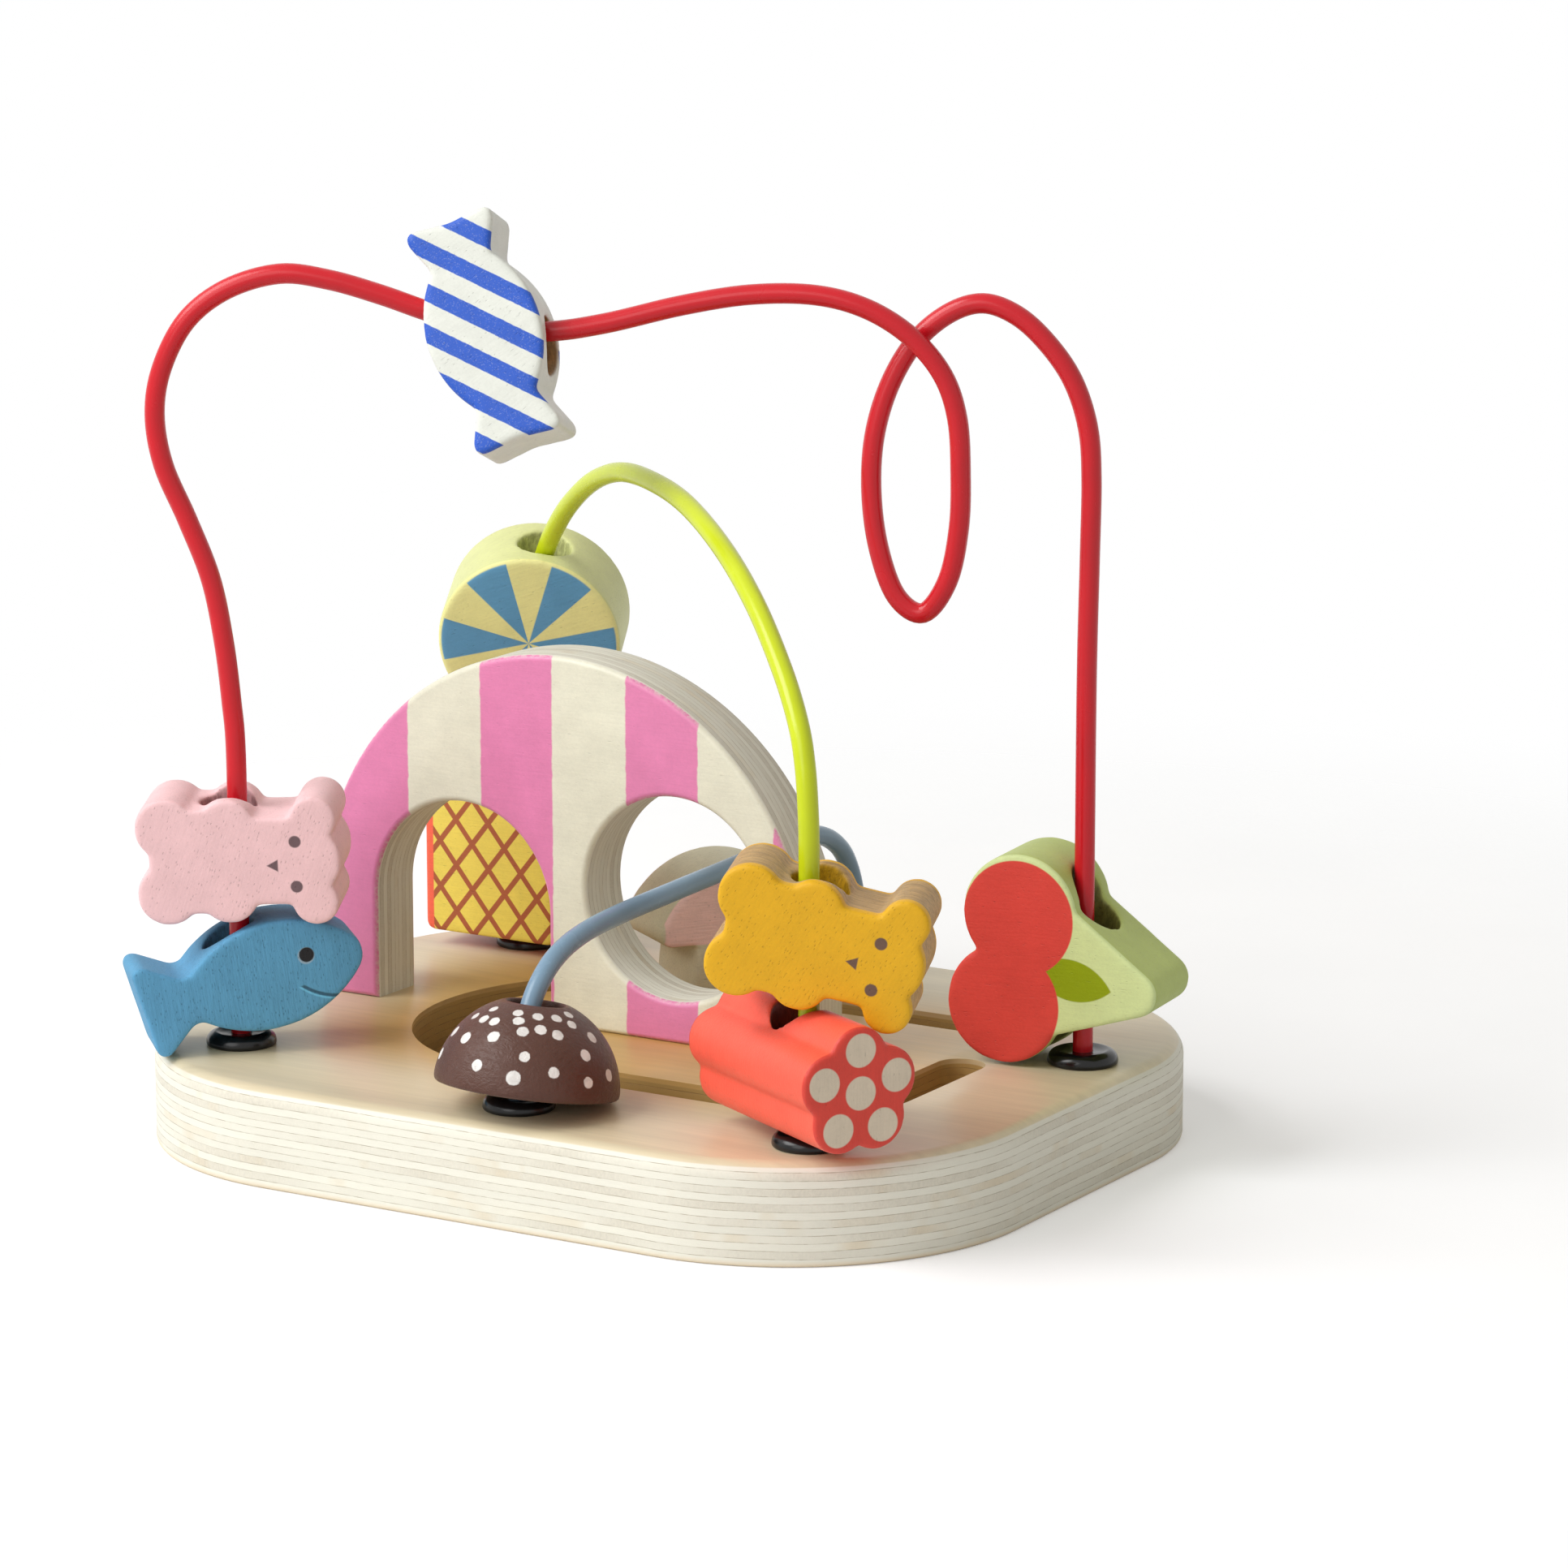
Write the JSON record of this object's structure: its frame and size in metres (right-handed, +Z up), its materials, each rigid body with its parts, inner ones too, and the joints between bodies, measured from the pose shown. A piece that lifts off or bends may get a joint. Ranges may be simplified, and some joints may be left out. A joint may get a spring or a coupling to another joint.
{
  "type": "bead maze",
  "caption": "Wooden bead maze: rounded plywood board, striped arch with doorway and window, bent coloured wires with shaped beads, and a mushroom sliding in a track.",
  "frame": {"origin": "middle of the board's underside", "axes": "+X along the board to the right, +Y to the back, +Z up"},
  "size_m": [0.1966, 0.1581, 0.1878],
  "materials": {
    "birch_ply": "clear-lacquered birch plywood, striped plies on the edges",
    "arch_paint": "plywood with matte pink and cream printed stripes on its faces",
    "steel": "plain zinc-plated screws",
    "red_coat": "glossy red plastic coat on steel wire",
    "lime_coat": "glossy lime plastic coat on steel wire",
    "blue_coat": "glossy grey-blue plastic coat on steel wire",
    "black_plastic": "glossy black",
    "pink_wood": "matte pastel pink stain with open pores",
    "blue_wood": "matte blue stain with visible grain",
    "striped_wood": "matte white with printed blue stripes",
    "green_wood": "matte pale green with printed red cherries and leaf",
    "wheel_wood": "matte pale yellow with printed blue wedges",
    "waffle_wood": "matte coral with printed yellow waffle lattice",
    "yellow_wood": "matte golden yellow stain with open pores",
    "red_wood": "matte coral with printed cream dots on its ends",
    "brown_wood": "satin chocolate brown with printed white dots",
    "mushroom_wood": "matte cream with a printed mauve cap",
    "pin_wood": "plain hardwood dowel",
    "grey_plastic": "plain grey"
  },
  "bodies": {
    "board": {"base_board": "birch_ply", "arch_board": "arch_paint", "arch_screws": "steel", "red_wire": "red_coat", "lime_wire": "lime_coat", "blue_wire": "blue_coat", "collar_red_left": "black_plastic", "collar_red_right": "black_plastic", "collar_lime_front": "black_plastic", "collar_lime_back": "black_plastic", "collar_blue_front": "black_plastic", "collar_blue_back": "black_plastic"},
    "fish": {"blue_fish": "blue_wood"},
    "pink_bear": {"pink_bear": "pink_wood"},
    "candy": {"striped_candy": "striped_wood"},
    "cherry": {"cherry_block": "green_wood"},
    "wheel": {"wheel_candy": "wheel_wood"},
    "ice_cream": {"ice_cream": "waffle_wood"},
    "log": {"licorice_log": "red_wood"},
    "yellow_bear": {"yellow_bear": "yellow_wood"},
    "dome": {"chocolate_dome": "brown_wood"},
    "slider": {"slider_pin": "pin_wood", "slider_disc": "grey_plastic", "slider_screw": "steel"},
    "mushroom": {"mushroom": "mushroom_wood"}
  },
  "joints": [
    {"name": "fish_slide", "type": "slide", "parent": "board", "child": "fish", "axis": [0, 0, 1], "range_m": [0, 0.018]},
    {"name": "pink_bear_slide", "type": "slide", "parent": "fish", "child": "pink_bear", "axis": [0, 0, 1], "range_m": [0, 0.018]},
    {"name": "log_slide", "type": "slide", "parent": "board", "child": "log", "axis": [0, 0, 1], "range_m": [0, 0.008]},
    {"name": "yellow_bear_slide", "type": "slide", "parent": "log", "child": "yellow_bear", "axis": [0, 0, 1], "range_m": [0, 0.006]},
    {"name": "cherry_slide", "type": "slide", "parent": "board", "child": "cherry", "axis": [0, 0, 1], "range_m": [0, 0.04]},
    {"name": "candy_spin", "type": "hinge", "parent": "board", "child": "candy", "pos_m": [-0.02196, -0.02857, 0.16235], "axis": [0.8866, 0.4344, -0.1591], "continuous": true},
    {"name": "wheel_spin", "type": "hinge", "parent": "board", "child": "wheel", "pos_m": [-0.06173, 0.04531, 0.09022], "axis": [0.2453, -0.1462, 0.9583], "continuous": true},
    {"name": "ice_cream_spin", "type": "hinge", "parent": "board", "child": "ice_cream", "pos_m": [-0.06612, 0.04883, 0.04], "axis": [0, 0, 1], "continuous": true},
    {"name": "dome_spin", "type": "hinge", "parent": "board", "child": "dome", "pos_m": [0.00698, -0.06244, 0.02353], "axis": [0.0333, 0.1812, 0.9829], "continuous": true},
    {"name": "slider_slide", "type": "slide", "parent": "board", "child": "slider", "axis": [1, 0, 0], "range_m": [-0.003, 0.045]},
    {"name": "mushroom_spin", "type": "hinge", "parent": "slider", "child": "mushroom", "pos_m": [-0.009, 0.03635, 0.025], "axis": [0, 0, 1], "continuous": true}
  ]
}
